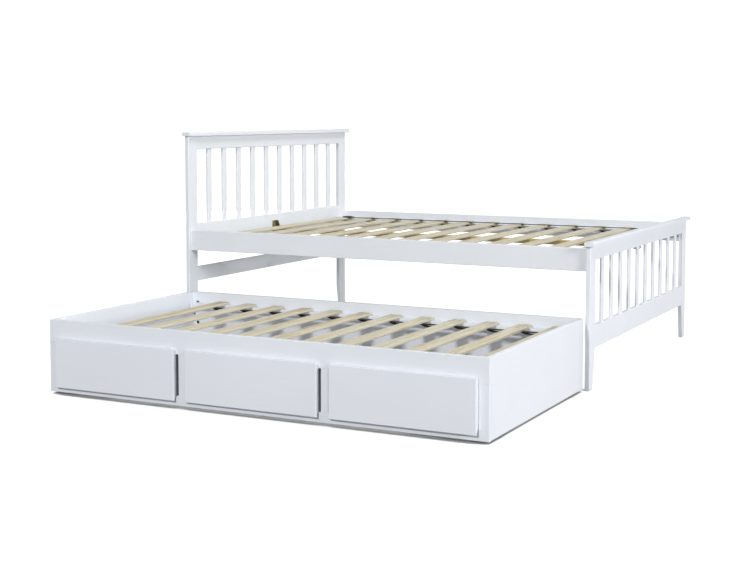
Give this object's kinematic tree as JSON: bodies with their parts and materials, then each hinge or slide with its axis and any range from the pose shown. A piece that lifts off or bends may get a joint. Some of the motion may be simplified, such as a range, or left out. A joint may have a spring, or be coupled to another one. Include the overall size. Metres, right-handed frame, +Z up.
{
  "type": "trundle bed",
  "caption": "White wooden slatted bed with spindled head and foot boards and a low slatted trundle bed with panelled false fronts that rolls out on castors.",
  "frame": {"origin": "on the floor, at the middle of the whole object's box with the trundle rolled out", "axes": "+X from head to foot, +Y from the rolled-out trundle towards the far side of the bed, +Z up"},
  "size_m": [2.104, 2.754, 1.098],
  "materials": {
    "white_paint": "satin white lacquer on timber",
    "pine": "planed bare pine",
    "webbing": "woven black webbing",
    "zinc_steel": "yellow passivated zinc",
    "castor_steel": "bright zinc",
    "castor_plastic": "moulded black nylon",
    "fastener_steel": "bright zinc"
  },
  "bodies": {
    "bed_frame": {"bed_slats": "pine", "centre_beam": "pine", "far_side_rail": "white_paint", "far_slat_ledger": "white_paint", "far_slat_strap": "webbing", "foot_beam_hanger": "zinc_steel", "footboard_bottom_rail": "white_paint", "footboard_cap": "white_paint", "footboard_far_post": "white_paint", "footboard_near_post": "white_paint", "footboard_spindles": "white_paint", "footboard_top_rail": "white_paint", "head_beam_hanger": "zinc_steel", "headboard_cap": "white_paint", "headboard_far_post": "white_paint", "headboard_mid_rail": "white_paint", "headboard_near_post": "white_paint", "headboard_spindles": "white_paint", "headboard_stretcher": "white_paint", "headboard_top_rail": "white_paint", "near_side_rail": "white_paint", "near_slat_ledger": "white_paint", "near_slat_strap": "webbing", "post_slot_plates": "fastener_steel", "rail_hook_plates": "fastener_steel"},
    "trundle": {"castor_axles": "fastener_steel", "castor_batten_foot": "pine", "castor_batten_head": "pine", "castor_fork_foot_back": "castor_steel", "castor_fork_foot_front": "castor_steel", "castor_fork_head_back": "castor_steel", "castor_fork_head_front": "castor_steel", "trundle_back_ledger": "white_paint", "trundle_back_panel": "white_paint", "trundle_back_strap": "webbing", "trundle_cam_bolts": "fastener_steel", "trundle_cam_locks": "fastener_steel", "trundle_face_bottom_rail": "white_paint", "trundle_face_muntins": "white_paint", "trundle_face_stile_1": "white_paint", "trundle_face_stile_2": "white_paint", "trundle_face_stile_3": "white_paint", "trundle_face_stile_4": "white_paint", "trundle_face_top_rail": "white_paint", "trundle_foot_panel": "white_paint", "trundle_front_centre": "white_paint", "trundle_front_ledger": "white_paint", "trundle_front_left": "white_paint", "trundle_front_right": "white_paint", "trundle_front_strap": "webbing", "trundle_head_panel": "white_paint", "trundle_slats": "pine"},
    "castor_wheel_foot_back": {"castor_wheel_foot_back": "castor_plastic"},
    "castor_wheel_foot_front": {"castor_wheel_foot_front": "castor_plastic"},
    "castor_wheel_head_back": {"castor_wheel_head_back": "castor_plastic"},
    "castor_wheel_head_front": {"castor_wheel_head_front": "castor_plastic"}
  },
  "joints": [
    {"name": "trundle_slide", "type": "slide", "parent": "bed_frame", "child": "trundle", "axis": [0, 1, 0], "range_m": [0, 1.1]},
    {"name": "castor_foot_back_roll", "type": "hinge", "parent": "trundle", "child": "castor_wheel_foot_back", "pos_m": [0.966, -0.427, 0.025], "axis": [1, 0, 0], "continuous": true},
    {"name": "castor_foot_front_roll", "type": "hinge", "parent": "trundle", "child": "castor_wheel_foot_front", "pos_m": [0.966, -1.227, 0.025], "axis": [1, 0, 0], "continuous": true},
    {"name": "castor_head_back_roll", "type": "hinge", "parent": "trundle", "child": "castor_wheel_head_back", "pos_m": [-0.954, -0.427, 0.025], "axis": [1, 0, 0], "continuous": true},
    {"name": "castor_head_front_roll", "type": "hinge", "parent": "trundle", "child": "castor_wheel_head_front", "pos_m": [-0.954, -1.227, 0.025], "axis": [1, 0, 0], "continuous": true}
  ],
  "couplings": [
    {"joint": "castor_foot_back_roll", "follows": "trundle_slide", "rad_per_m": -40},
    {"joint": "castor_foot_front_roll", "follows": "trundle_slide", "rad_per_m": -40},
    {"joint": "castor_head_back_roll", "follows": "trundle_slide", "rad_per_m": -40},
    {"joint": "castor_head_front_roll", "follows": "trundle_slide", "rad_per_m": -40}
  ]
}
